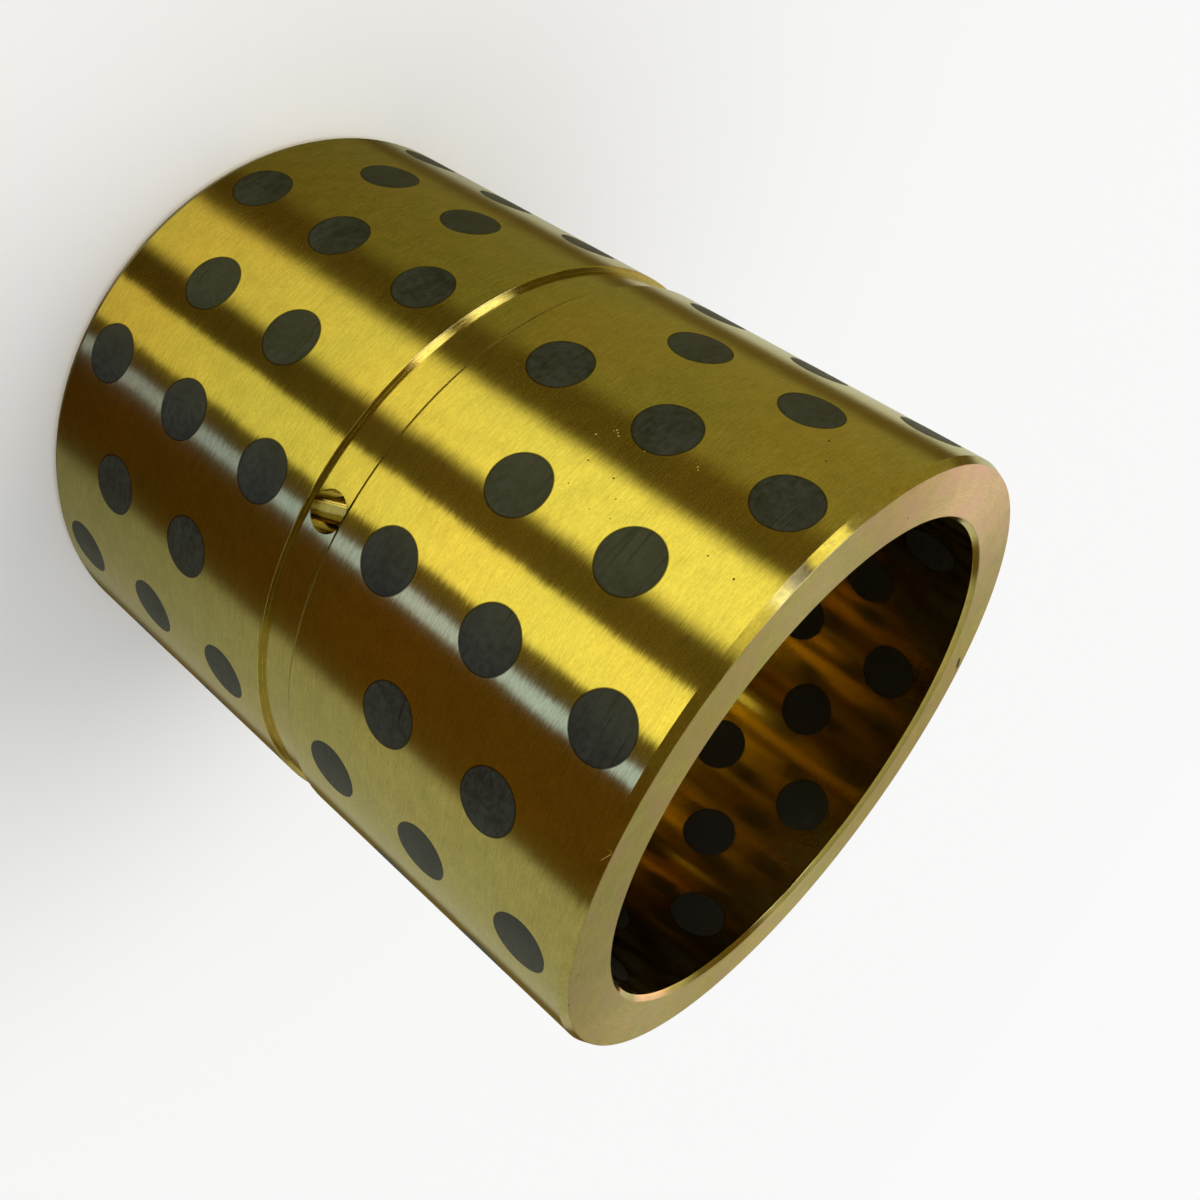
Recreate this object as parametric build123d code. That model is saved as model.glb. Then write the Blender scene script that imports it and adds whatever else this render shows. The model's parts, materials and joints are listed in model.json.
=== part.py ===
"""Plain bearing bushing: a turned bronze sleeve with graphite plugs pressed through its wall.

The sleeve stands on its lower end face. The origin is the centre of that face, +Z runs up the
bushing's axis, and +X passes through the oil hole. Units are millimetres and degrees.
"""

from build123d import *
import os

# Turned sleeve
BORE_DIAMETER = 90.0
WALL_THICKNESS = 10.0
LENGTH = 130.0
LEAD_IN_LENGTH = 1.5  # outer end chamfer, measured along the axis
LEAD_IN_DEPTH = 0.7  # outer end chamfer, measured along the radius
BORE_CHAMFER = 0.8

# Oil groove round the middle of the outside, and the hole that feeds the bore from it
GROOVE_WIDTH = 8.0  # across its mouth, on the outside diameter
GROOVE_DEPTH = 0.9
GROOVE_RIM_BREAK = 0.15  # break of the lower rim
GROOVE_LEAD_LENGTH = 0.7  # chamfer of the upper rim, measured along the axis
GROOVE_LEAD_DEPTH = 0.4  # chamfer of the upper rim, measured along the radius
OIL_HOLE_DIAMETER = 6.8
OIL_HOLE_DROP = 0.15  # how far the hole sits below the middle of the groove's mouth

# Plugs: rows run along the bushing, on the land below the groove and on the land above it
PLUG_SEAT_DIAMETER = 10.0
PLUG_GLUE_LINE = 0.03  # radial gap between a plug and its seat
ROW_COUNT = 18
COLUMN_COUNT = 5  # heights on one land that take a plug, shared by neighbouring rows in turn
END_MARGIN = 9.2  # end face to the centre of the nearest plug
GROOVE_MARGIN = 10.4  # groove wall to the centre of the nearest plug
LOWER_LAND_SLIP = 1.2  # angle by which the lower land was drilled out of line with the upper

# Worked out from the sizes above
BORE_RADIUS = BORE_DIAMETER / 2
OUTER_RADIUS = BORE_RADIUS + WALL_THICKNESS
GROOVE_FLOOR_RADIUS = OUTER_RADIUS - GROOVE_DEPTH
GROOVE_BOTTOM = (LENGTH - GROOVE_WIDTH) / 2
GROOVE_TOP = GROOVE_BOTTOM + GROOVE_WIDTH
OIL_HOLE_HEIGHT = LENGTH / 2 - OIL_HOLE_DROP
COLUMN_STEP = (GROOVE_BOTTOM - END_MARGIN - GROOVE_MARGIN) / (COLUMN_COUNT - 1)
ROW_STEP = 360 / ROW_COUNT
PLUG_DIAMETER = PLUG_SEAT_DIAMETER - 2 * PLUG_GLUE_LINE


def wall_section():
    """Return the section of the turned wall, as a face in the XZ plane beside the axis."""
    upper_wall = GROOVE_TOP - GROOVE_LEAD_LENGTH
    lower_end = [
        (BORE_RADIUS, BORE_CHAMFER),
        (BORE_RADIUS + BORE_CHAMFER, 0),
        (OUTER_RADIUS - LEAD_IN_DEPTH, 0),
        (OUTER_RADIUS, LEAD_IN_LENGTH),
    ]
    groove = [
        (OUTER_RADIUS, GROOVE_BOTTOM - GROOVE_RIM_BREAK),
        (OUTER_RADIUS - GROOVE_RIM_BREAK, GROOVE_BOTTOM),
        (GROOVE_FLOOR_RADIUS, GROOVE_BOTTOM),
        (GROOVE_FLOOR_RADIUS, upper_wall),
        (OUTER_RADIUS - GROOVE_LEAD_DEPTH, upper_wall),
        (OUTER_RADIUS, GROOVE_TOP),
    ]
    upper_end = [(radius, LENGTH - height) for radius, height in reversed(lower_end)]
    outline = Polyline(*lower_end, *groove, *upper_end, close=True)
    return Plane.XZ * make_face(outline)


def turned_blank():
    """Return the ring as it leaves the lathe: end chamfers and oil groove, but no holes."""
    return revolve(wall_section(), Axis.Z)


def radial_rod(diameter, angle, height):
    """Return a rod from the axis out past the wall, pointing at the angle and at the height."""
    reach = OUTER_RADIUS + WALL_THICKNESS
    rod = Cylinder(diameter / 2, reach, align=(Align.CENTER, Align.CENTER, Align.MIN))
    return Rot(Z=angle) * Pos(Z=height) * Rot(Y=90) * rod


def row_heights(row):
    """Return the plug heights of a row on the lower land: every second column, in stagger."""
    columns = range(row % 2, COLUMN_COUNT, 2)
    return [END_MARGIN + column * COLUMN_STEP for column in columns]


def plug_places():
    """Return, for each row of each land, its node's name and its plugs' angles and heights."""
    places = {}
    for row in range(ROW_COUNT):
        angle = row * ROW_STEP
        heights = row_heights(row)
        lower = [(angle + LOWER_LAND_SLIP, height) for height in heights]
        upper = [(angle, LENGTH - height) for height in reversed(heights)]
        places[f"plugs_lower_row_{row + 1:02d}"] = lower
        places[f"plugs_upper_row_{row + 1:02d}"] = upper
    return places


def drilled_sleeve(blank, places):
    """Return the blank with a through seat for every plug and the oil hole in the groove."""
    drills = [radial_rod(OIL_HOLE_DIAMETER, 0, OIL_HOLE_HEIGHT)]
    for row in places.values():
        for angle, height in row:
            drills.append(radial_rod(PLUG_SEAT_DIAMETER, angle, height))
    return blank - drills


def plug(blank, angle, height):
    """Return one plug, turned flush with the outside and the bore of the ring that holds it."""
    return blank & radial_rod(PLUG_DIAMETER, angle, height)


def plug_row(blank, row):
    """Return the plugs of one row as a group of separate solids."""
    plugs = [plug(blank, angle, height) for angle, height in row]
    return Compound([solid for piece in plugs for solid in piece.solids()])


def main():
    """Build every piece and write one STEP file for each node."""
    os.makedirs("parts", exist_ok=True)
    blank = turned_blank()
    places = plug_places()
    export_step(drilled_sleeve(blank, places), "parts/sleeve.step")
    for name, row in places.items():
        export_step(plug_row(blank, row), f"parts/{name}.step")


main()
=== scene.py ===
"""Dresses a graphite-plugged bronze bushing: turned sleeve, plugs, finishes, studio and camera.

Lengths are metres in the part's own frame: the origin is the centre of the lower end face, +Z
runs up the axis and +X passes through the oil hole. Angles are radians unless a name says _deg.
"""

import json
import logging
import math
from collections.abc import Mapping, Sequence
from dataclasses import dataclass
from enum import Enum
from typing import Any, Optional, Union

import bpy
import numpy as np
from mathutils import Euler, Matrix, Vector


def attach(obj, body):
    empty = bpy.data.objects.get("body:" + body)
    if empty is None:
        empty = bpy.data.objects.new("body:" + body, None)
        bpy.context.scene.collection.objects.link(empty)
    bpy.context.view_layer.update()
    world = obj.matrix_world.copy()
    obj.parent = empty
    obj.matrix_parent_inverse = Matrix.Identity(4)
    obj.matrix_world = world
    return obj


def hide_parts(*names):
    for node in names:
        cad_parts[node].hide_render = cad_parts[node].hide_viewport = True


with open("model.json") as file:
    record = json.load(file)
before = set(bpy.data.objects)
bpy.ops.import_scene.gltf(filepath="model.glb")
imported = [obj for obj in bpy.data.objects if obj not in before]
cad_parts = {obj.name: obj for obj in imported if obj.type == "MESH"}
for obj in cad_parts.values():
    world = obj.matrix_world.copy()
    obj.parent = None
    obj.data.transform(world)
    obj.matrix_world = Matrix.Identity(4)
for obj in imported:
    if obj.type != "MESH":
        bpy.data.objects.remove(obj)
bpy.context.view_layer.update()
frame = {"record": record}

LOG = logging.getLogger("bushing")
MM = 0.001
BODY = "root"
WELD = 1e-7  # corners nearer than this become one


# ---------------------------------------------------------------------------------------------
# Sizes
# ---------------------------------------------------------------------------------------------


@dataclass(frozen=True)
class Hole:
    """A radial hole through the wall.

    Attributes:
        row: Index of the strip of wall that the hole lies in.
        azimuth: Direction of the hole's axis.
        height: Height of the hole's axis.
        radius: Radius of the hole.
    """

    row: int
    azimuth: float
    height: float
    radius: float


@dataclass(frozen=True)
class BushingSizes:
    """Driving sizes of the bushing, and the places that follow from them."""

    outer_radius: float
    bore_radius: float
    length: float
    lead_in_length: float = 1.5 * MM
    lead_in_depth: float = 0.7 * MM
    bore_chamfer: float = 0.8 * MM
    groove_width: float = 8.0 * MM
    groove_depth: float = 0.9 * MM
    groove_lead_length: float = 0.7 * MM
    groove_lead_depth: float = 0.4 * MM
    oil_hole_radius: float = 3.4 * MM
    oil_hole_drop: float = 0.15 * MM
    seat_radius: float = 5.0 * MM
    glue_line: float = 0.03 * MM
    row_count: int = 18
    column_count: int = 5
    end_margin: float = 9.2 * MM
    groove_margin: float = 10.4 * MM
    lower_land_slip: float = math.radians(1.2)
    edge_break: float = 0.09 * MM
    groove_rim: float = 0.15 * MM
    groove_foot: float = 0.04 * MM

    @classmethod
    def from_frame(cls) -> "BushingSizes":
        """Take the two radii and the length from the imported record's own mounts.

        Returns:
            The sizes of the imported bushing.
        """
        mounts = {mount["name"]: mount for mount in frame["record"]["mounts"]}
        return cls(
            outer_radius=mounts["outer_seat"]["dims"]["r_mm"] * MM,
            bore_radius=mounts["bore"]["dims"]["r_mm"] * MM,
            length=mounts["upper_end_face"]["pos_m"][2],
        )

    @property
    def groove_bottom(self) -> float:
        """Height of the groove's lower wall."""
        return (self.length - self.groove_width) / 2

    @property
    def groove_top(self) -> float:
        """Height of the groove's upper wall."""
        return (self.length + self.groove_width) / 2

    @property
    def groove_floor(self) -> float:
        """Radius of the groove's floor."""
        return self.outer_radius - self.groove_depth

    @property
    def row_step(self) -> float:
        """Angle from one row of plugs to the next."""
        return 2 * math.pi / self.row_count

    @property
    def column_step(self) -> float:
        """Height from one column of plugs to the next on one land."""
        margins = self.end_margin + self.groove_margin
        return (self.groove_bottom - margins) / (self.column_count - 1)

    @property
    def oil_hole(self) -> Hole:
        """The hole that leads from the groove to the bore."""
        return Hole(0, 0.0, self.length / 2 - self.oil_hole_drop, self.oil_hole_radius)

    def row_heights(self, row: int) -> list[float]:
        """Heights of a row's plugs on the lower land: every second column, in stagger.

        Args:
            row: Index of the row.

        Returns:
            The heights, from the end face towards the groove.
        """
        columns = range(row % 2, self.column_count, 2)
        return [self.end_margin + column * self.column_step for column in columns]

    def lower_seats(self, row: int) -> list[Hole]:
        """Seats of one row on the lower land, which was drilled a little out of line."""
        azimuth = row * self.row_step + self.lower_land_slip
        return [Hole(row, azimuth, height, self.seat_radius) for height in self.row_heights(row)]

    def upper_seats(self, row: int) -> list[Hole]:
        """Seats of one row on the upper land, the mirror image of the lower land's heights."""
        azimuth = row * self.row_step
        heights = [self.length - height for height in self.row_heights(row)]
        return [Hole(row, azimuth, height, self.seat_radius) for height in heights]

    def all_holes(self) -> list[Hole]:
        """Every plug seat and the oil hole."""
        rows = range(self.row_count)
        seats = [seat for row in rows for seat in self.lower_seats(row) + self.upper_seats(row)]
        return seats + [self.oil_hole]


# ---------------------------------------------------------------------------------------------
# Meshes
# ---------------------------------------------------------------------------------------------


@dataclass(frozen=True)
class Grid:
    """A patch of surface: a grid of points, each with its own outward normal.

    Attributes:
        points: Array of shape (..., rows, columns, 3).
        normals: Array of the same shape, of unit length.
    """

    points: np.ndarray
    normals: np.ndarray

    def triangles(self) -> np.ndarray:
        """Corner numbers of the patch's triangles, two to each cell of the grid."""
        shape = self.points.shape[:-1]
        number = np.arange(math.prod(shape)).reshape(shape)
        a, b = number[..., :-1, :-1], number[..., :-1, 1:]
        c, d = number[..., 1:, 1:], number[..., 1:, :-1]
        halves = [np.stack([a, b, c], -1), np.stack([a, c, d], -1)]
        return np.concatenate([half.reshape(-1, 3) for half in halves])


def polar(radius: Any, azimuth: Any, height: Any) -> np.ndarray:
    """Points at a radius and azimuth round the axis: x = r cos a, y = r sin a, z = height.

    Args:
        radius: Distance from the axis.
        azimuth: Angle from +X.
        height: Height along the axis.

    Returns:
        An array whose last axis is x, y, z, in the shape that the inputs broadcast to.
    """
    radius, azimuth, height = np.broadcast_arrays(radius, azimuth, height)
    return np.stack([radius * np.cos(azimuth), radius * np.sin(azimuth), height], -1)


def mesh_piece(name: str, grids: Sequence[Grid]) -> bpy.types.Object:
    """Join patches into one closed mesh that keeps each patch's own normals.

    Corners that coincide are welded, triangles that the weld flattens are dropped, and a
    triangle whose winding disagrees with its corners' normals is turned round.

    Args:
        name: Name of the new object.
        grids: The patches.

    Returns:
        The new object, at the origin and linked to the scene.
    """
    points = np.concatenate([grid.points.reshape(-1, 3) for grid in grids])
    normals = np.concatenate([grid.normals.reshape(-1, 3) for grid in grids])
    starts = np.cumsum([0] + [grid.points.size // 3 for grid in grids[:-1]])
    corners = np.concatenate([grid.triangles() + start for grid, start in zip(grids, starts)])

    keys = np.round(points / WELD).astype(np.int64)
    _, first, welded = np.unique(keys, axis=0, return_index=True, return_inverse=True)
    welded = welded.reshape(-1)
    ends = welded[corners]
    whole = (ends[:, 0] != ends[:, 1]) & (ends[:, 1] != ends[:, 2]) & (ends[:, 2] != ends[:, 0])
    corners = corners[whole]

    a, b, c = (points[corners[:, side]] for side in range(3))
    facing = np.einsum("ij,ij->i", np.cross(b - a, c - a), normals[corners].sum(1))
    corners[facing < 0] = corners[facing < 0][:, ::-1]

    mesh = bpy.data.meshes.new(name)
    mesh.vertices.add(len(first))
    mesh.vertices.foreach_set("co", points[first].astype(np.float32).ravel())
    mesh.loops.add(corners.size)
    mesh.loops.foreach_set("vertex_index", welded[corners].astype(np.int32).ravel())
    mesh.polygons.add(len(corners))
    mesh.polygons.foreach_set("loop_start", np.arange(0, corners.size, 3, dtype=np.int32))
    mesh.polygons.foreach_set("use_smooth", np.ones(len(corners), bool))
    mesh.update(calc_edges=True)
    mesh.normals_split_custom_set(normals[corners].reshape(-1, 3).astype(np.float32))
    mesh.update()
    piece = bpy.data.objects.new(name, mesh)
    bpy.context.scene.collection.objects.link(piece)
    return piece


def seat_on_body(piece: bpy.types.Object, nodes: Sequence[str]) -> None:
    """Carry a piece on the bushing's one body, in place of the solids that it stands for.

    Args:
        piece: The new piece.
        nodes: The solids' node names.
    """
    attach(piece, BODY)
    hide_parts(*nodes)
    triangles = sum(len(polygon.vertices) - 2 for polygon in piece.data.polygons)
    LOG.info("%s: %d triangles, stands for %s", piece.name, triangles, ", ".join(nodes))


# ---------------------------------------------------------------------------------------------
# Shader expressions
# ---------------------------------------------------------------------------------------------

Number = Union[float, "Value"]
Colour = tuple[float, float, float]


class Value:
    """A shader socket that takes part in Python expressions."""

    def __init__(self, graph: "Graph", socket: bpy.types.NodeSocket) -> None:
        """Hold the socket and the graph that it belongs to."""
        self.graph = graph
        self.socket = socket

    def __add__(self, other: Number) -> "Value":
        """This value plus another."""
        return self.graph.math("ADD", self, other)

    def __sub__(self, other: Number) -> "Value":
        """This value less another."""
        return self.graph.math("SUBTRACT", self, other)

    def __rsub__(self, other: Number) -> "Value":
        """Another value less this one."""
        return self.graph.math("SUBTRACT", other, self)

    def __mul__(self, other: Number) -> "Value":
        """This value times another."""
        return self.graph.math("MULTIPLY", self, other)

    def __truediv__(self, other: Number) -> "Value":
        """This value divided by another."""
        return self.graph.math("DIVIDE", self, other)

    __radd__ = __add__
    __rmul__ = __mul__

    def rise(self, start: float, end: float) -> "Value":
        """Smooth step: 0 where this value is at start, 1 where it is at end, either way round."""
        settings = {"interpolation_type": "SMOOTHSTEP", "clamp": True}
        inputs = {"Value": self, "From Min": start, "From Max": end}
        return self.graph.node("ShaderNodeMapRange", settings, inputs)

    def within(self, centre: float, half_width: float, softness: float) -> "Value":
        """1 in a band about a centre, falling to 0 over the softness outside it."""
        distance = self.graph.math("ABSOLUTE", self - centre)
        return distance.rise(half_width + softness, half_width)


class Graph:
    """The nodes of one material or world."""

    def __init__(self, owner: Union[bpy.types.Material, bpy.types.World]) -> None:
        """Start an empty node tree on the owner."""
        owner.use_nodes = True
        self.tree = owner.node_tree
        self.tree.nodes.clear()

    def node(
        self,
        kind: str,
        settings: Mapping[str, Any],
        inputs: Mapping[Union[str, int], Any],
        output: Union[str, int] = 0,
    ) -> Value:
        """Add a node: its settings first, then the values and links of its sockets.

        Args:
            kind: The node's type.
            settings: Attributes of the node.
            inputs: Plain values or Values, by socket name or number.
            output: The socket to hand back.

        Returns:
            The chosen output.
        """
        made = self.tree.nodes.new(kind)
        for name, setting in settings.items():
            setattr(made, name, setting)
        for name, given in inputs.items():
            if isinstance(given, Value):
                self.tree.links.new(given.socket, made.inputs[name])
            else:
                made.inputs[name].default_value = given
        return Value(self, made.outputs[output])

    def math(self, operation: str, *values: Number) -> Value:
        """A Math node on up to three numbers."""
        return self.node("ShaderNodeMath", {"operation": operation}, dict(enumerate(values)))

    def mix(self, share: Number, one: Any, other: Any, blend: str = "MIX") -> Value:
        """Blend two colours, each a tuple or a Value; share 0 gives the first one.

        Args:
            share: How much of the blend shows.
            one: The colour underneath.
            other: The colour laid over it.
            blend: The Mix node's way of blending.

        Returns:
            The blended colour.
        """
        first, second = (c if isinstance(c, Value) else (*c, 1) for c in (one, other))
        settings = {"data_type": "RGBA", "blend_type": blend}
        return self.node("ShaderNodeMix", settings, {0: share, 6: first, 7: second}, 2)

    def vector(self, x: Number, y: Number, z: Number) -> Value:
        """Three numbers as one vector."""
        return self.node("ShaderNodeCombineXYZ", {}, {0: x, 1: y, 2: z})

    def noise(self, place: Value, detail: float = 2.0, roughness: float = 0.55) -> Value:
        """Soft noise from 0 to 1 with features about one unit of the place apart."""
        inputs = {"Vector": place, "Scale": 1.0, "Detail": detail, "Roughness": roughness}
        return self.node("ShaderNodeTexNoise", {}, inputs)

    def specks(self, place: Value, size: float, share: float) -> Value:
        """Round specks, at most one to each unit cell of the place.

        Args:
            place: Where to look; stretch it to stretch the specks.
            size: Radius of a speck, in units of the place.
            share: How many of the cells hold a speck, from 0 to 1.

        Returns:
            1 in a speck and 0 elsewhere.
        """
        cells = self.node("ShaderNodeTexVoronoi", {}, {"Vector": place, "Scale": 1.0})
        distance = cells
        tint = Value(self, cells.socket.node.outputs["Color"])
        chance = self.node("ShaderNodeSeparateColor", {}, {"Color": tint})
        return distance.rise(size, size * 0.6) * chance.rise(share + 0.01, share - 0.01)

    def bump(self, height: Value, depth: float, normal: Optional[Value] = None) -> Value:
        """Tilt a normal by a height field, where a height of 1 stands for this depth."""
        inputs = {"Height": height, "Distance": depth, "Strength": 1.0}
        if normal:
            inputs["Normal"] = normal
        return self.node("ShaderNodeBump", {}, inputs)

    def leaning(self, direction: Value, amount: Number) -> Value:
        """The surface's normal plus an amount of a direction, brought back to unit length."""
        normal = self.node("ShaderNodeNewGeometry", {}, {}, "Normal")
        shift = {0: direction, "Scale": amount}
        shift = self.node("ShaderNodeVectorMath", {"operation": "SCALE"}, shift)
        total = self.node("ShaderNodeVectorMath", {"operation": "ADD"}, {0: normal, 1: shift})
        return self.node("ShaderNodeVectorMath", {"operation": "NORMALIZE"}, {0: total})

    def surface(self, shader: Value, output: str = "ShaderNodeOutputMaterial") -> None:
        """Link a shader to the owner's output."""
        end = self.tree.nodes.new(output)
        self.tree.links.new(shader.socket, end.inputs["Surface"])


@dataclass(frozen=True)
class Mark:
    """A small round mark on the bushing.

    Attributes:
        azimuth_deg: Direction of the mark from the axis, in degrees.
        radius_mm: Its distance from the axis, in millimetres.
        height_mm: Its height, in millimetres.
        size_mm: Its own radius, in millimetres.
    """

    azimuth_deg: float
    radius_mm: float
    height_mm: float
    size_mm: float

    @property
    def azimuth(self) -> float:
        """Direction of the mark from the axis."""
        return math.radians(self.azimuth_deg)

    @property
    def radius(self) -> float:
        """Distance of the mark from the axis."""
        return self.radius_mm * MM

    @property
    def height(self) -> float:
        """Height of the mark."""
        return self.height_mm * MM

    @property
    def size(self) -> float:
        """Radius of the mark itself."""
        return self.size_mm * MM


class PlaceOnBushing:
    """Shader coordinates of a point on the bushing, from its Object coordinates."""

    def __init__(self, graph: Graph, sizes: BushingSizes) -> None:
        """Work out radius, height and azimuth.

        Args:
            graph: The material's nodes.
            sizes: The bushing's sizes.
        """
        self.graph = graph
        self.sizes = sizes
        self.point = graph.node("ShaderNodeTexCoord", {}, {}, "Object")
        self.x = graph.node("ShaderNodeSeparateXYZ", {}, {0: self.point}, "X")
        self.y = Value(graph, self.x.socket.node.outputs["Y"])
        self.height = Value(graph, self.x.socket.node.outputs["Z"])
        self.radius = graph.math("SQRT", self.x * self.x + self.y * self.y)
        self.azimuth = graph.math("ARCTAN2", self.y, self.x)

    def tooled(self, along: float, across: float, seed: float = 0.0) -> Value:
        """A place stretched along the cutting marks, which run round the axis.

        The marks follow circles of equal radius plus height, so one formula serves the walls,
        the chamfers and the end faces.

        Args:
            along: Length of a feature round the axis.
            across: Width of a feature across the marks.
            seed: Shifts the pattern so that two of them differ.

        Returns:
            The stretched place.
        """
        step = (self.radius + self.height) / across + seed
        return self.graph.vector(self.x / along, self.y / along, step)

    def plain(self, size: float, seed: float = 0.0) -> Value:
        """A place whose unit is this size the same way in every direction."""
        return self.graph.vector(
            self.x / size + seed, self.y / size, self.height / size
        )

    def marked(self, marks: Sequence[Mark]) -> Value:
        """1 within any of the marks and 0 elsewhere."""
        found = None
        for mark in marks:
            centre = polar(mark.radius, mark.azimuth, mark.height).tolist()
            inputs = {0: self.point, 1: centre}
            settings = {"operation": "DISTANCE"}
            distance = self.graph.node("ShaderNodeVectorMath", settings, inputs, "Value")
            spot = distance.rise(mark.size, mark.size * 0.5)
            found = self.graph.math("MAXIMUM", found, spot) if found else spot
        return found

    def round_the_axis(self) -> Value:
        """The level direction in which the azimuth grows: (-y, x, 0) / radius."""
        return self.graph.vector(0 - self.y / self.radius, self.x / self.radius, 0.0)

    def among_plugs(self) -> Value:
        """1 on the stretches of wall that the plugs' circles span, and 0 elsewhere."""
        sizes = self.sizes
        nearest = sizes.length / 2 - sizes.groove_bottom + sizes.groove_margin - sizes.seat_radius
        farthest = sizes.length / 2 - sizes.end_margin + sizes.seat_radius
        folded = self.graph.math("ABSOLUTE", self.height - sizes.length / 2)
        half = (farthest - nearest) / 2
        return folded.within(nearest + half, half, 0.1 * MM)

    def seat_distance(self) -> Value:
        """Distance from the nearest plug's axis, over the outside or the bore.

        The height folds about the middle of the bushing, because the lands mirror each other.
        Rows two apart and columns two apart repeat, and a second lattice half a step away in
        both directions holds the rows between.
        """
        graph, sizes = self.graph, self.sizes
        middle = sizes.length / 2
        folded = graph.math("ABSOLUTE", self.height - middle)
        level = (middle - sizes.end_margin - folded) / (2 * sizes.column_step)
        below = self.height.rise(middle, middle - MM)
        turn = (self.azimuth - below * sizes.lower_land_slip) / (2 * sizes.row_step)

        def nearest(shift: float) -> Value:
            """Distance from the nearest point of one of the two lattices."""
            across = graph.math("WRAP", turn + shift, 0.5, -0.5) * (2 * sizes.row_step)
            up = graph.math("WRAP", level + shift, 0.5, -0.5) * (2 * sizes.column_step)
            side = graph.math("SINE", across) * self.radius
            return graph.math("SQRT", side * side + up * up)

        return graph.math("MINIMUM", nearest(0.0), nearest(0.5))


# ---------------------------------------------------------------------------------------------
# Finishes
# ---------------------------------------------------------------------------------------------


PITS = (
    Mark(-28.7, 55, 95.3, 0.17), Mark(-28.5, 55, 100.2, 0.18), Mark(-26.1, 55, 102.7, 0.12),
    Mark(-23.3, 55, 104.1, 0.10), Mark(-22.8, 55, 100.7, 0.10), Mark(-24.2, 55, 95.6, 0.12),
    Mark(-25.9, 55, 123.1, 0.20), Mark(-26.6, 55, 118.3, 0.15), Mark(-54.8, 55, 116.9, 0.24),
    Mark(-50.4, 55, 119.4, 0.20), Mark(36.8, 55, 47.8, 0.26), Mark(40.2, 52.4, 130, 0.20),
    Mark(46.9, 54.2, 130, 0.22), Mark(-58.6, 48.5, 130, 0.22), Mark(-151.8, 51.5, 130, 0.60),
    Mark(-152.6, 51.9, 130, 0.75), Mark(-153.4, 52.2, 130, 0.80), Mark(-154.2, 52.6, 130, 0.70),
)
CHIPS = (
    Mark(-35.2, 55, 94.9, 0.18), Mark(-34.9, 55, 95.3, 0.15), Mark(-34.5, 55, 95.8, 0.16),
    Mark(-34.8, 55, 94.6, 0.10), Mark(-32.8, 55, 93.1, 0.14), Mark(-34.7, 55, 100.5, 0.12),
    Mark(-37.1, 55, 107.9, 0.16), Mark(-36.7, 55, 108.3, 0.12),
)


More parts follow.
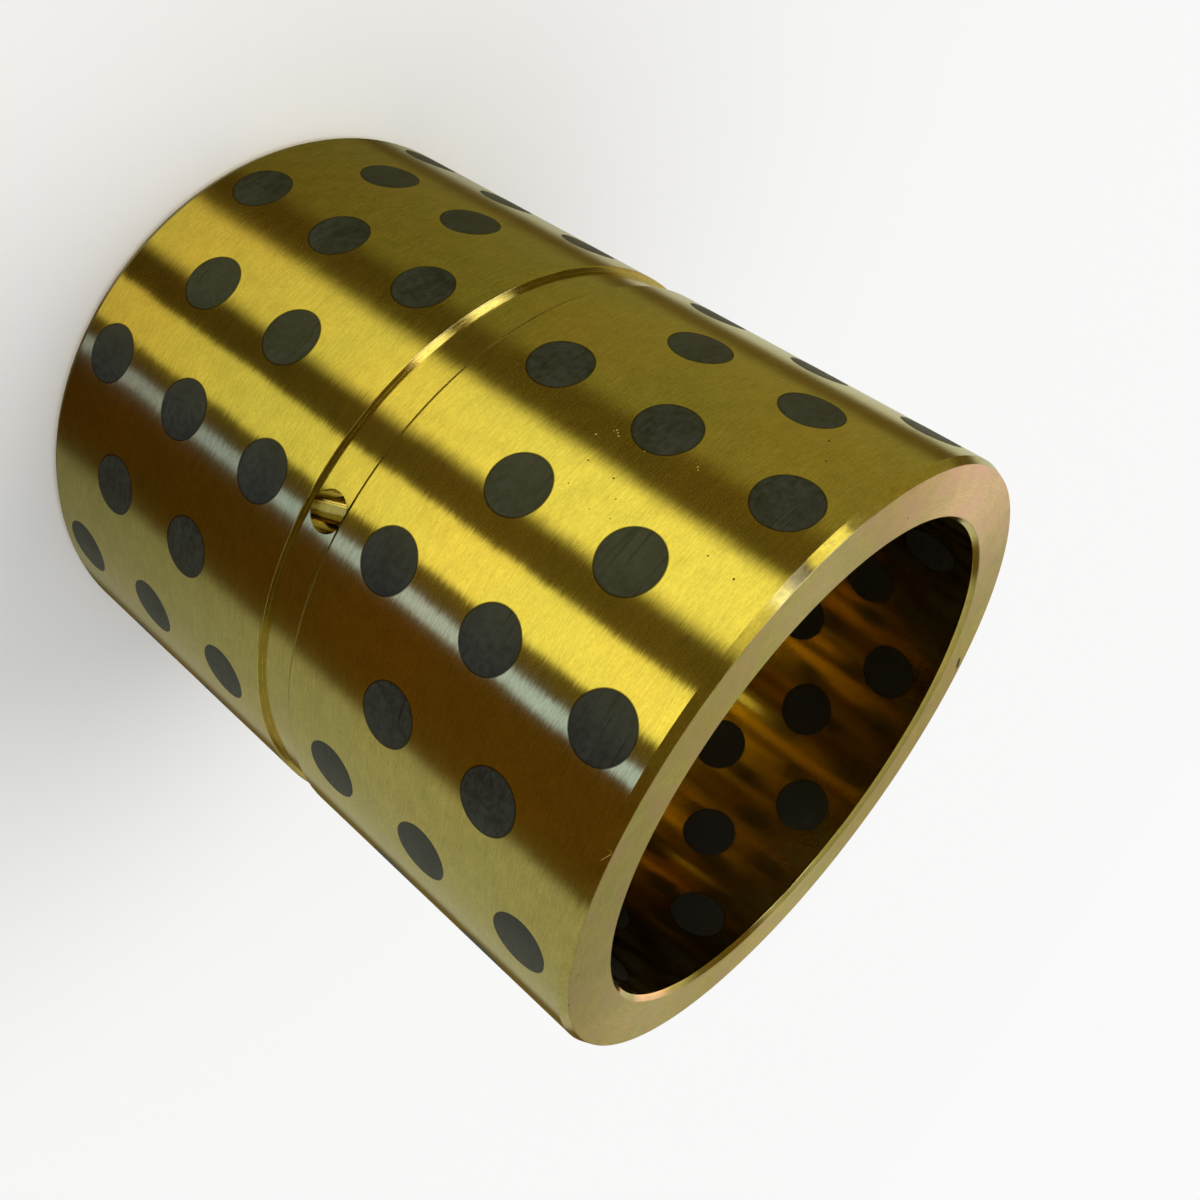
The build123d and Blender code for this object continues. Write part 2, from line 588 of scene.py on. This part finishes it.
@dataclass(frozen=True)
class BronzeFinish:
    """Fine-turned bronze, bright on the walls and duller on the faced ends.

    Attributes:
        gold: The metal's main colour.
        olive: The greener tone that it drifts to.
        amber: The warmer tone that it drifts to.
        copper: The pinker tone of parts of the faced ends.
        bore_painted_light: A brighter tone for the bore. It is painted light that stands in for the
            light the bore mirrors.
        grime: Colour of pits and of the line round each plug.
        wall_roughness: Roughness of the turned walls.
        face_roughness: Roughness of the faced ends.
        grain: How strongly the cutting marks stretch a reflection across themselves.
        waver: How far single cutting marks lean sideways, as a slope.
    """

    gold: Colour = (0.63, 0.51, 0.16)
    olive: Colour = (0.56, 0.49, 0.16)
    amber: Colour = (0.67, 0.48, 0.15)
    copper: Colour = (0.64, 0.44, 0.24)
    bore_painted_light: Colour = (0.73, 0.57, 0.16)
    grime: Colour = (0.03, 0.026, 0.012)
    wall_roughness: float = 0.13
    face_roughness: float = 0.4
    grain: float = 0.85
    waver: float = 0.022

    def material(self, sizes: BushingSizes) -> bpy.types.Material:
        """Make the bronze for a bushing of these sizes."""
        material = bpy.data.materials.new("fine_turned_bronze")
        graph = Graph(material)
        place = PlaceOnBushing(graph, sizes)
        end_face = 1 - place.height.within(
            sizes.length / 2, sizes.length / 2 - 0.12 * MM, 0.04 * MM
        )
        fine = graph.noise(place.tooled(7 * MM, 0.14 * MM), 3.0)
        broad = graph.noise(place.tooled(40 * MM, 0.9 * MM, 5.0), 3.0)
        mottle = graph.noise(place.plain(5 * MM, 9.0), 4.0)
        pits, chips = place.marked(PITS), place.marked(CHIPS)

        in_bore = place.radius.rise(sizes.bore_radius + 0.4 * MM, sizes.bore_radius + 0.1 * MM)
        walls = self.wall_roughness * (0.7 + 0.4 * broad + 0.3 * mottle) * (1 - 0.2 * in_bore)
        faces = self.face_roughness * (0.85 + 0.3 * mottle)
        roughness = walls + end_face * (faces - walls)
        outside = 1 - in_bore
        height = (fine * 0.4 + broad * 0.6 - pits * 12.0 + chips * 12.0) * outside
        lean = self._lean(graph, place, outside)
        shader = graph.node(
            "ShaderNodeBsdfPrincipled",
            {},
            {
                "Base Color": self._colour(graph, place, end_face, in_bore, pits),
                "Metallic": 1.0,
                "Roughness": roughness + chips * 0.3,
                "Anisotropic": self.grain,
                "Anisotropic Rotation": 0.25,
                "Normal": graph.bump(height, 0.0009 * MM, lean),
            },
        )
        graph.surface(shader)
        return material

    def _lean(self, graph: Graph, place: PlaceOnBushing, outside: Value) -> Value:
        """The normal, leaning sideways by cutting mark and in slow waves, outside the bore."""
        marks = graph.noise(place.tooled(4 * MM, 0.24 * MM, 3.0), 2.0) - 0.5
        waves = graph.noise(place.plain(11 * MM, 7.0), 2.0) - 0.5
        amount = (marks + waves) * outside * self.waver
        return graph.leaning(place.round_the_axis(), amount)

    def _colour(
        self, graph: Graph, place: PlaceOnBushing, end_face: Value, in_bore: Value, pits: Value
    ) -> Value:
        """The metal's drifting tone, its cutting marks, its grime and the painted light in its
        bore.

        Args:
            graph: The material's nodes.
            place: Coordinates on the bushing.
            end_face: 1 on the faced ends.
            in_bore: 1 in the bore.
            pits: 1 in the pits.

        Returns:
            The base colour.
        """
        sizes = place.sizes
        drift = graph.noise(place.plain(34 * MM), 2.0)
        cloud = graph.noise(place.plain(3.5 * MM, 5.0), 3.0)
        streaks = graph.noise(place.tooled(3 * MM, 0.24 * MM, 11.0), 2.0)
        grit = graph.noise(place.tooled(0.6 * MM, 0.22 * MM, 6.0), 2.0)
        colour = graph.mix(drift.rise(0.35, 0.6), self.olive, self.gold)
        colour = graph.mix(drift.rise(0.55, 0.75) * 0.6, colour, self.amber)
        # Painted light: the bore takes a brighter base tone that stands in for the light it
        # mirrors.
        colour = graph.mix(in_bore, colour, self.bore_painted_light)
        shade = 1 + (streaks - 0.5) * 0.45 + (grit - 0.5) * 0.45 + (cloud - 0.5) * 0.3
        colour = graph.mix(1.0, colour, graph.vector(shade, shade, shade), "MULTIPLY")

        pinker = graph.noise(place.plain(6 * MM, 2.0), 3.0).rise(0.4, 0.65)
        colour = graph.mix(end_face * pinker * 0.6, colour, self.copper)

        stain = place.seat_distance().within(sizes.seat_radius, 0.06 * MM, 0.12 * MM)
        stain = stain * place.among_plugs()
        return graph.mix(graph.math("MAXIMUM", stain * 0.75, pits), colour, self.grime)


@dataclass(frozen=True)
class GraphiteFinish:
    """Matte pressed graphite, turned flush with the bronze round it.

    Attributes:
        dark: Colour of the graphite.
        light: Colour of its paler mottle.
        score_and_shade_black: Colour of its scores, and painted shade on its ends in the bore.
        roughness: Its roughness.
    """

    dark: Colour = (0.006, 0.008, 0.005)
    light: Colour = (0.025, 0.030, 0.020)
    score_and_shade_black: Colour = (0.002, 0.002, 0.001)
    roughness: float = 0.40

    def material(self, sizes: BushingSizes) -> bpy.types.Material:
        """Make the graphite for plugs in a bushing of these sizes."""
        material = bpy.data.materials.new("flush_turned_graphite")
        graph = Graph(material)
        place = PlaceOnBushing(graph, sizes)
        mottle = graph.noise(place.plain(1.1 * MM), 5.0, 0.7)
        cloud = graph.noise(place.plain(7 * MM, 4.0), 2.0)
        marks = graph.noise(place.tooled(4 * MM, 0.2 * MM, 2.0), 3.0)
        scores = graph.noise(place.tooled(14 * MM, 0.45 * MM, 7.0), 2.0).rise(0.63, 0.7)

        light = (mottle * 0.5 + cloud * 0.25 + marks * 0.25).rise(0.38, 0.62)
        colour = graph.mix(light, self.dark, self.light)
        rim = place.seat_distance().rise(sizes.seat_radius - 0.3 * MM, sizes.seat_radius)
        in_bore = place.radius.rise(sizes.bore_radius + 3 * MM, sizes.bore_radius + MM)
        # Painted shade: the plug ends in the bore are darkened where little light reaches. The
        # scores are real dark marks.
        colour = graph.mix(in_bore * 0.9 + rim * 0.7 + scores * 0.7, colour, self.score_and_shade_black)
        height = marks * 0.6 + mottle * 0.5 - scores * 1.5
        shine = 0.4 * mottle + 0.3 * marks - 0.3
        shader = graph.node(
            "ShaderNodeBsdfPrincipled",
            {},
            {
                "Base Color": colour,
                "Metallic": 0.0,
                "Roughness": self.roughness + shine,
                "Specular IOR Level": 0.5,
                "Normal": graph.bump(height, 0.014 * MM),
            },
        )
        graph.surface(shader)
        return material


# ---------------------------------------------------------------------------------------------
# Bronze sleeve
# ---------------------------------------------------------------------------------------------


@dataclass(frozen=True)
class Run:
    """One smooth stretch of the turned outline, a row of points with outward normals.

    Attributes:
        radius: Radii of the points.
        height: Heights of the points.
        normal_radius: The normals' parts away from the axis.
        normal_height: The normals' parts along the axis.
    """

    radius: np.ndarray
    height: np.ndarray
    normal_radius: np.ndarray
    normal_height: np.ndarray


@dataclass(frozen=True)
class TurnedSleeve:
    """The bronze sleeve: one turned outline carried round the axis, drilled as it goes.

    Attributes:
        sizes: The bushing's sizes.
        hole_steps: Points on half of a hole's rim.
        strip_steps: Cells from a row's centre line to the edge of its strip.
        arc_steps: Cells across a rounded edge.
    """

    sizes: BushingSizes
    hole_steps: int = 20
    strip_steps: int = 4
    arc_steps: int = 5

    def corners(self) -> list[tuple[float, float, float]]:
        """The outline's corners as (radius, height, rounding), anticlockwise from the bore."""
        s = self.sizes
        lower_end = [
            (s.bore_radius, s.bore_chamfer, s.edge_break),
            (s.bore_radius + s.bore_chamfer, 0.0, s.edge_break),
            (s.outer_radius - s.lead_in_depth, 0.0, s.edge_break),
            (s.outer_radius, s.lead_in_length, s.edge_break),
        ]
        upper_wall = s.groove_top - s.groove_lead_length
        groove = [
            (s.outer_radius, s.groove_bottom, s.groove_rim),
            (s.groove_floor, s.groove_bottom, s.groove_foot),
            (s.groove_floor, upper_wall, s.groove_foot),
            (s.outer_radius - s.groove_lead_depth, upper_wall, s.edge_break),
            (s.outer_radius, s.groove_top, s.groove_rim),
        ]
        upper_end = [(r, s.length - z, rounding) for r, z, rounding in reversed(lower_end)]
        return lower_end + groove + upper_end

    def hole_levels(self, hole: Hole) -> np.ndarray:
        """Heights evenly spaced round a hole's rim: centre + radius * sin(-90 to 90 degrees)."""
        angle = np.linspace(-np.pi / 2, np.pi / 2, self.hole_steps + 1)
        return hole.height + hole.radius * np.sin(angle)

    def slip(self, height: np.ndarray) -> np.ndarray:
        """How far the rows are turned at a height.

        All of the lower land's slip up to its last plug, none from the groove on, and an even
        change between.
        """
        s = self.sizes
        last_plug = s.groove_bottom - s.groove_margin + s.seat_radius
        knots = [last_plug, s.groove_bottom - s.groove_rim]
        return np.interp(height, knots, [s.lower_land_slip, 0.0])

    def half_chords(self, height: np.ndarray) -> np.ndarray:
        """Half the width of each row's hole at each height: sqrt(radius^2 - rise^2), or 0.

        Args:
            height: The heights, a row of numbers.

        Returns:
            Array of shape (rows, heights).
        """
        holes = self.sizes.all_holes()
        centre = np.array([[hole.height] for hole in holes])
        radius = np.array([[hole.radius] for hole in holes])
        chord = np.sqrt(np.clip(radius**2 - (height - centre) ** 2, 0, None))
        widest = np.zeros((self.sizes.row_count, len(height)))
        np.maximum.at(widest, [hole.row for hole in holes], chord)
        return widest

    def outline(self) -> list[Run]:
        """Round the outline's corners and split it into smooth runs.

        A rounded corner is the arc that touches both sides: it starts a tangent length,
        rounding * tan(half the turn), before the corner, and its normal turns evenly from one
        side's to the other's. The straight run up to it carries every level that a hole needs.
        The bore closes the outline and carries every height that the outside has, so that the
        walls of a hole meet both rims point for point.

        Returns:
            The runs in order, the bore's last.
        """
        corners = np.array(self.corners())
        place, rounding = corners[:, :2], corners[:, 2]
        along = np.roll(place, -1, axis=0) - place
        along /= np.linalg.norm(along, axis=1)[:, None]
        before = np.roll(along, 1, axis=0)
        cross = before[:, 0] * along[:, 1] - before[:, 1] * along[:, 0]
        turn = np.arctan2(cross, (before * along).sum(1))
        tangent = (rounding * np.tan(np.abs(turn) / 2))[:, None]
        enter, leave = place - before * tangent, place + along * tangent

        levels = np.concatenate([self.hole_levels(hole) for hole in self.sizes.all_holes()])
        runs = []
        for i in range(len(place)):
            if i > 0:
                runs.append(self._straight(leave[i - 1], enter[i], levels))
            runs.append(self._arc(enter[i], before[i], turn[i], rounding[i]))
        heights = np.concatenate([run.height for run in runs])
        runs.append(self._straight(leave[-1], enter[0], heights))
        return runs

    def _straight(self, start: np.ndarray, end: np.ndarray, levels: np.ndarray) -> Run:
        """A straight run; a wall along the axis is also cut at the levels that it spans."""
        low, high = sorted((start[1], end[1]))
        height = np.array([start[1], end[1]])
        radius = np.array([start[0], end[0]])
        if math.isclose(start[0], end[0], abs_tol=WELD):
            between = levels[(levels > low + WELD) & (levels < high - WELD)]
            height = np.unique(np.concatenate([height, between]).round(9))
            height = height if end[1] > start[1] else height[::-1]
            radius = np.full(len(height), start[0])
        along = (end - start) / np.linalg.norm(end - start)
        return Run(radius, height, np.full(len(height), along[1]), np.full(len(height), -along[0]))

    def _arc(self, enter: np.ndarray, along: np.ndarray, turn: float, rounding: float) -> Run:
        """The arc that rounds one corner: centre + or - rounding * normal, as it turns."""
        angle = np.arctan2(-along[0], along[1]) + turn * np.linspace(0, 1, self.arc_steps + 1)
        normal = np.stack([np.cos(angle), np.sin(angle)], 1)
        bulge = math.copysign(rounding, turn)
        points = enter + bulge * (normal - normal[0])
        return Run(points[:, 0], points[:, 1].round(9), normal[:, 0], normal[:, 1])

    def skin(self, run: Run) -> Grid:
        """Carry one run round the axis in strips, one to a row, parted at each row's holes.

        From the row's centre line to the strip's edge, on both sides, azimuth goes evenly from
        asin(half chord / radius) to half a row step, so the two sides draw apart round a hole.

        Args:
            run: The run of outline.

        Returns:
            The run's surface.
        """
        s = self.sizes
        opening = np.arcsin(self.half_chords(run.height) / run.radius)
        share = np.linspace(0, 1, self.strip_steps + 1)
        reach = opening[..., None] + (s.row_step / 2 - opening[..., None]) * share
        centre = np.arange(s.row_count)[:, None, None] * s.row_step
        centre = centre + self.slip(run.height)[:, None]
        azimuth = np.stack([centre - reach, centre + reach])
        points = polar(run.radius[:, None], azimuth, run.height[:, None])
        normals = polar(run.normal_radius[:, None], azimuth, run.normal_height[:, None])
        return Grid(points, normals)

    def hole_wall(self, hole: Hole, radius: np.ndarray, height: np.ndarray) -> Grid:
        """The wall of one hole, ruled from its outer rim to its rim in the bore.

        Args:
            hole: The hole.
            radius: Radii of the outer rim's points, from the hole's lowest to its highest.
            height: Heights of those points.

        Returns:
            The wall, with normals that point at the hole's own axis.
        """
        chord = np.sqrt(np.clip(hole.radius**2 - (height - hole.height) ** 2, 0, None))
        side = np.concatenate([chord, -chord[::-1]])
        rise = np.concatenate([height, height[::-1]])
        outer = np.concatenate([radius, radius[::-1]])
        rims = np.stack([outer, np.full(len(outer), self.sizes.bore_radius)])
        points = polar(rims, hole.azimuth + np.arcsin(side / rims), rise)
        axis = polar(1.0, hole.azimuth, 0.0)
        across = np.array([-axis[1], axis[0], 0.0])
        inward = -(side[:, None] * across + (rise - hole.height)[:, None] * np.array([0, 0, 1.0]))
        inward /= np.linalg.norm(inward, axis=1)[:, None]
        return Grid(points, np.broadcast_to(inward, points.shape))

    def seat_walls(self) -> list[Grid]:
        """The walls of all plug seats, whose outer rims lie on the outside diameter."""
        seats = self.sizes.all_holes()[:-1]
        radius = np.full(self.hole_steps + 1, self.sizes.outer_radius)
        return [self.hole_wall(seat, radius, self.hole_levels(seat).round(9)) for seat in seats]

    def oil_hole_wall(self, runs: Sequence[Run]) -> Grid:
        """The oil hole's wall, whose outer rim climbs over the groove's lower rim and wall."""
        hole = self.sizes.oil_hole
        radius = np.concatenate([run.radius for run in runs[:-1]])
        height = np.concatenate([run.height for run in runs[:-1]])
        inside = np.flatnonzero(np.abs(height - hole.height) < hole.radius)
        rim = slice(inside[0] - 1, inside[-1] + 2)
        return self.hole_wall(hole, radius[rim], height[rim])

    def build(self, finish: BronzeFinish) -> bpy.types.Object:
        """Build the sleeve's mesh, dress it and seat it on the body."""
        runs = self.outline()
        grids = [self.skin(run) for run in runs]
        grids += self.seat_walls()
        grids.append(self.oil_hole_wall(runs))
        piece = mesh_piece("turned_sleeve", grids)
        piece.data.materials.append(finish.material(self.sizes))
        seat_on_body(piece, ["sleeve"])
        return piece


# ---------------------------------------------------------------------------------------------
# Graphite plugs
# ---------------------------------------------------------------------------------------------


@dataclass(frozen=True)
class GraphitePlugs:
    """The plugs, one piece for each row of each land.

    Attributes:
        sizes: The bushing's sizes.
        round_steps: Points round a plug.
        ring_steps: Rings from the middle of an end to its rim.
    """

    sizes: BushingSizes
    round_steps: int = 40
    ring_steps: int = 4

    def plug(self, seat: Hole) -> list[Grid]:
        """One plug, turned flush with the outside and the bore.

        A point of an end lies at across = ring * cos t and up = ring * sin t from the plug's
        axis, on the cylinder of the outside or the bore, so its azimuth is the plug's plus
        asin(across / radius).

        Args:
            seat: The hole that the plug is pressed into.

        Returns:
            The plug's two ends and its barrel.
        """
        s = self.sizes
        plug_radius = seat.radius - s.glue_line
        ring = np.linspace(0, plug_radius, self.ring_steps + 1)[:, None]
        angle = np.linspace(0, 2 * np.pi, self.round_steps + 1)
        across, up = ring * np.cos(angle), ring * np.sin(angle)
        ends = []
        for radius, outward in ((s.outer_radius, 1.0), (s.bore_radius, -1.0)):
            azimuth = seat.azimuth + np.arcsin(across / radius)
            points = polar(radius, azimuth, seat.height + up)
            ends.append(Grid(points, polar(outward, azimuth, np.zeros_like(azimuth))))
        axis = polar(1.0, seat.azimuth, 0.0)
        sideways = np.array([-axis[1], axis[0], 0.0])
        radial = np.cos(angle)[:, None] * sideways + np.sin(angle)[:, None] * np.array([0, 0, 1.0])
        barrel = np.stack([ends[0].points[-1], ends[1].points[-1]])
        return [*ends, Grid(barrel, np.broadcast_to(radial, barrel.shape))]

    def build(self, finish: GraphiteFinish) -> list[bpy.types.Object]:
        """Build every row's plugs, dress them and seat them on the body."""
        material = finish.material(self.sizes)
        pieces = []
        lands = (("lower", self.sizes.lower_seats), ("upper", self.sizes.upper_seats))
        for row in range(self.sizes.row_count):
            for land, seats in lands:
                grids = [grid for seat in seats(row) for grid in self.plug(seat)]
                piece = mesh_piece(f"graphite_{land}_row_{row + 1:02d}", grids)
                piece.data.materials.append(material)
                seat_on_body(piece, [f"plugs_{land}_row_{row + 1:02d}"])
                pieces.append(piece)
        return pieces


@dataclass(frozen=True)
class BurrThread:
    """A loose thread of bronze that facing the end left hanging on its outer edge.

    Attributes:
        sizes: The bushing's sizes.
        thickness: How thick the thread is at its middle.
        reach: How far it hangs out from the edge, along the radius.
        droop: How far its free end hangs below its root.
        azimuth_deg: Where it leaves the edge, in degrees.
        lean_deg: How far round it leans by its free end, in degrees.
    """

    sizes: BushingSizes
    thickness: float = 0.16 * MM
    reach: float = 1.9 * MM
    droop: float = 0.3 * MM
    azimuth_deg: float = 13.4
    lean_deg: float = 0.9

    def build(self, bronze: bpy.types.Material) -> bpy.types.Object:
        """Build the thread, tapered to a point at both ends, and seat it on the body.

        The share t runs from 0 at the edge to 1 at the free end. The thread's middle lies at
        radius = start + reach * t and height = top - droop * t ** 2, and its thickness follows
        sqrt(sin(pi * t)).

        Args:
            bronze: The sleeve's own bronze.

        Returns:
            The thread.
        """
        s = self.sizes
        share = np.linspace(0, 1, 15)[:, None]
        turn = np.linspace(0, 2 * np.pi, 9)
        swell = self.thickness / 2 * np.sqrt(np.clip(np.sin(np.pi * share), 0, 1))
        radius = s.outer_radius - s.lead_in_depth - 0.1 * MM + self.reach * share
        azimuth = np.radians(self.azimuth_deg + self.lean_deg * share**2)
        height = s.length - self.thickness - self.droop * share**2
        middle = polar(radius, azimuth, height)
        outward = polar(1.0, azimuth, 0.0 * azimuth)
        sideways = np.stack([-outward[..., 1], outward[..., 0], 0 * outward[..., 0]], -1)
        upward = np.array([0.0, 0.0, 1.0])
        around = np.cos(turn)[:, None] * sideways + np.sin(turn)[:, None] * upward
        piece = mesh_piece("burr_thread", [Grid(middle + swell[..., None] * around, around)])
        piece.data.materials.append(bronze)
        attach(piece, BODY)
        return piece


# ---------------------------------------------------------------------------------------------
# Studio
# ---------------------------------------------------------------------------------------------


class Light(Enum):
    """Colours of the light from the cards and the room, each at a strength of 1."""

    SUN = (1.0, 0.92, 0.3)
    BRASS = (1.0, 0.88, 0.25)
    PLAIN = (1.0, 1.0, 0.75)
    SKY = (0.75, 1.0, 2.2)
    LAMP = (1.0, 1.05, 2.0)
    ROOM = (1.0, 0.7, 0.15)
    RUST = (1.0, 0.5, 0.05)
    ROSE = (1.0, 0.7, 0.8)


@dataclass(frozen=True)
class Card:
    """One plain card that hangs round the bushing and that only its metal mirrors.

    Attributes:
        azimuth_deg: Direction of its middle, in degrees.
        width_deg: Its width, in degrees.
        low_deg: Elevation of its lower edge, in degrees.
        high_deg: Elevation of its upper edge, in degrees.
        light: Colour of its light.
        strength: Strength of its light.
        soft_deg: How far its light fades out beside it, in degrees.
    """

    azimuth_deg: float
    width_deg: float
    low_deg: float
    high_deg: float
    light: Light
    strength: float
    soft_deg: float = 5.0

    def shown(self, graph: Graph, azimuth: Value, elevation: Value) -> Value:
        """1 on the card and 0 beside it, with a soft edge between."""
        aside = graph.math("WRAP", azimuth - self.azimuth_deg, 180.0, -180.0)
        middle, half = (self.low_deg + self.high_deg) / 2, (self.high_deg - self.low_deg) / 2
        across = aside.within(0.0, self.width_deg / 2, self.soft_deg)
        return across * elevation.within(middle, half, self.soft_deg)


CARDS = {
    "back wall": Card(180, 50, -95, 95, Light.PLAIN, 0.6, 10),
    "brass wall": Card(-105, 50, -95, 25, Light.BRASS, 0.3, 10),
    "pale wall": Card(100, 55, -95, 95, Light.PLAIN, 0.45, 8),
    "wide window": Card(-40, 20, -65, 25, Light.SUN, 1.5, 8),
    "narrow window": Card(0, 16, -65, -5, Light.SUN, 1.5, 3),
    "brown curtain": Card(42, 26, -65, 25, Light.RUST, 0.12, 16),
    "cool strip": Card(22, 4, -65, -15, Light.SKY, 0.9, 2),
    "side lamp": Card(-73, 14, 0, 25, Light.SUN, 1.6, 3),
    "left ceiling lamp": Card(-85, 16, 30, 50, Light.LAMP, 4.0, 1),
    "right ceiling lamp": Card(-57, 16, 30, 50, Light.LAMP, 4.0, 1),
    "ceiling": Card(0, 400, 60, 95, Light.PLAIN, 0.4),
    "rose screen": Card(-160, 30, 8, 22, Light.ROSE, 1.4, 6),
}


@dataclass(frozen=True)
class Studio:
    """A pale floor, soft lamps, the cards that the metal mirrors, and the camera.

    Attributes:
        paper: Colour of the floor.
        backdrop: Colour of the world to the camera, which the far floor runs into.
        ambient: Strength of the light from all round.
        tent_radius: How far off the cards hang.
        room_light: Strength of the dim room between the cards.
        low_light: Share of the cards' light that is left near the floor.
        floor_radius: Radius of the floor.
        floor_end: Distances at which the floor begins and ends to run into the backdrop.
    """

    paper: Colour = (0.93, 0.93, 0.93)
    backdrop: Colour = (0.955, 0.955, 0.955)
    ambient: float = 0.64
    tent_radius: float = 12.0
    room_light: float = 0.14
    low_light: float = 0.35
    floor_radius: float = 40.0
    floor_end: tuple[float, float] = (0.8, 4.0)

    def build(self) -> None:
        """Set up everything round the bushing."""
        self.floor()
        self.tent()
        self.lamps()
        self.world()
        self.camera()
        scene = bpy.context.scene
        scene.view_settings.view_transform = "Standard"
        LOG.info("studio ready")

    def _paper_material(self) -> bpy.types.Material:
        """Plain matte paper that runs into the plain backdrop a few metres away."""
        material = bpy.data.materials.new("pale_paper")
        graph = Graph(material)
        place = graph.node("ShaderNodeTexCoord", {}, {}, "Object")
        x = graph.node("ShaderNodeSeparateXYZ", {}, {0: place}, "X")
        y = Value(graph, x.socket.node.outputs["Y"])
        far = graph.math("SQRT", x * x + y * y).rise(*self.floor_end)
        inputs = {"Base Color": (*self.paper, 1), "Roughness": 0.9, "Specular IOR Level": 0.0}
        paper = graph.node("ShaderNodeBsdfPrincipled", {}, inputs)
        glow = graph.node("ShaderNodeEmission", {}, {"Color": (*self.backdrop, 1)})
        graph.surface(graph.node("ShaderNodeMixShader", {}, {0: far, 1: paper, 2: glow}))
        return material

    @staticmethod
    def _disc(name: str, radius: float, height: float) -> bpy.types.Object:
        """A level disc: a grid of rings and spokes that faces up."""
        ring = np.linspace(0, radius, 3)[:, None]
        spoke = np.linspace(0, 2 * np.pi, 65)
        points = polar(ring, spoke, height)
        up = np.broadcast_to(np.array([0.0, 0.0, 1.0]), points.shape)
        disc = mesh_piece(name, [Grid(points, up)])
        return disc

    def floor(self) -> None:
        """The floor, which the camera and soft light see and the mirror-like metal doesn't."""
        floor = self._disc("studio_floor", self.floor_radius, 0.0)
        floor.data.materials.append(self._paper_material())
        floor.visible_glossy = False

    @staticmethod
    def _only_mirrored(piece: bpy.types.Object) -> None:
        """Hide a piece from every ray but mirror-like ones."""
        for ray in ("camera", "diffuse", "transmission", "volume_scatter", "shadow"):
            setattr(piece, f"visible_{ray}", False)

    def tent(self) -> None:
        """A round tent that carries the cards and that only a mirror-like surface sees."""
        azimuth = np.linspace(-np.pi, np.pi, 97)
        elevation = np.radians(np.linspace(-90, 90, 49))[:, None]
        inward = -polar(np.cos(elevation), azimuth, np.sin(elevation) + 0 * azimuth)
        tent = mesh_piece("mirror_tent", [Grid(-self.tent_radius * inward, inward)])
        self._only_mirrored(tent)
        tent.data.materials.append(self._tent_material())

    def _tent_material(self) -> bpy.types.Material:
        """A dim room with the cards in it, which all fade in the same way towards the floor."""
        material = bpy.data.materials.new("tent_cards")
        material.cycles.emission_sampling = "NONE"
        graph = Graph(material)
        place = graph.node("ShaderNodeTexCoord", {}, {}, "Object")
        x = graph.node("ShaderNodeSeparateXYZ", {}, {0: place}, "X")
        y, z = (Value(graph, x.socket.node.outputs[axis]) for axis in "YZ")
        azimuth = graph.math("ARCTAN2", y, x) * math.degrees(1)
        elevation = graph.math("ARCSINE", z / self.tent_radius) * math.degrees(1)
        colour = tuple(self.room_light * part for part in Light.ROOM.value)
        for card in CARDS.values():
            lit = tuple(card.strength * part for part in card.light.value)
            colour = graph.mix(card.shown(graph, azimuth, elevation), colour, lit)
        fade = self.low_light + elevation.rise(-60, -25) * (1 - self.low_light)
        graph.surface(graph.node("ShaderNodeEmission", {}, {"Color": colour, "Strength": fade}))
        return material

    def lamps(self) -> None:
        """Two wide soft suns, so that the floor is lit evenly out to the horizon."""
        for name, strength, spread_deg, azimuth_deg, elevation_deg, colour in (
            ("key", 1.0, 50, -120, 55, (1.0, 0.98, 0.94)),
            ("fill", 0.55, 70, 60, 60, (0.94, 0.97, 1.0)),
        ):
            light = bpy.data.lights.new(name, "SUN")
            light.energy = strength
            light.angle = math.radians(spread_deg)
            light.color = colour
            lamp = bpy.data.objects.new(name, light)
            place = polar(
                math.cos(math.radians(elevation_deg)),
                math.radians(azimuth_deg),
                math.sin(math.radians(elevation_deg)),
            )
            lamp.rotation_euler = Vector(place).to_track_quat("Z", "Y").to_euler()
            lamp.visible_glossy = False
            bpy.context.scene.collection.objects.link(lamp)

    def world(self) -> None:
        """White all round to the camera and in reflections, and even soft light for the rest."""
        world = bpy.data.worlds.new("studio_world")
        bpy.context.scene.world = world
        graph = Graph(world)
        path = graph.node("ShaderNodeLightPath", {}, {}, "Is Camera Ray")
        glossy = Value(graph, path.socket.node.outputs["Is Glossy Ray"])
        clear = Value(graph, path.socket.node.outputs["Is Transmission Ray"])
        seen = graph.math("MAXIMUM", graph.math("MAXIMUM", path, glossy), clear)
        strength = self.ambient + seen * (1 - self.ambient)
        inputs = {"Color": (*self.backdrop, 1), "Strength": strength}
        graph.surface(graph.node("ShaderNodeBackground", {}, inputs), "ShaderNodeOutputWorld")

    @staticmethod
    def camera() -> None:
        """The camera: close above the upper end face, rolled so that the axis runs across."""
        data = bpy.data.cameras.new("camera")
        data.sensor_width = 36.0
        data.lens = 38.0345
        camera = bpy.data.objects.new("camera", data)
        camera.location = (0.19454, -0.04003, 0.18515)
        turn_deg = (-48.3260, -46.1077, -133.6320)
        camera.rotation_euler = Euler([math.radians(angle) for angle in turn_deg])
        data.clip_start = 0.005
        bpy.context.scene.collection.objects.link(camera)
        bpy.context.scene.camera = camera


def main() -> None:
    """Build the pieces in order, then the studio round them."""
    logging.basicConfig(level=logging.INFO, format="%(name)s %(message)s")
    sizes = BushingSizes.from_frame()
    sleeve = TurnedSleeve(sizes).build(BronzeFinish())
    BurrThread(sizes).build(sleeve.data.materials[0])
    GraphitePlugs(sizes).build(GraphiteFinish())
    Studio().build()


if __name__ == "__main__":
    main()
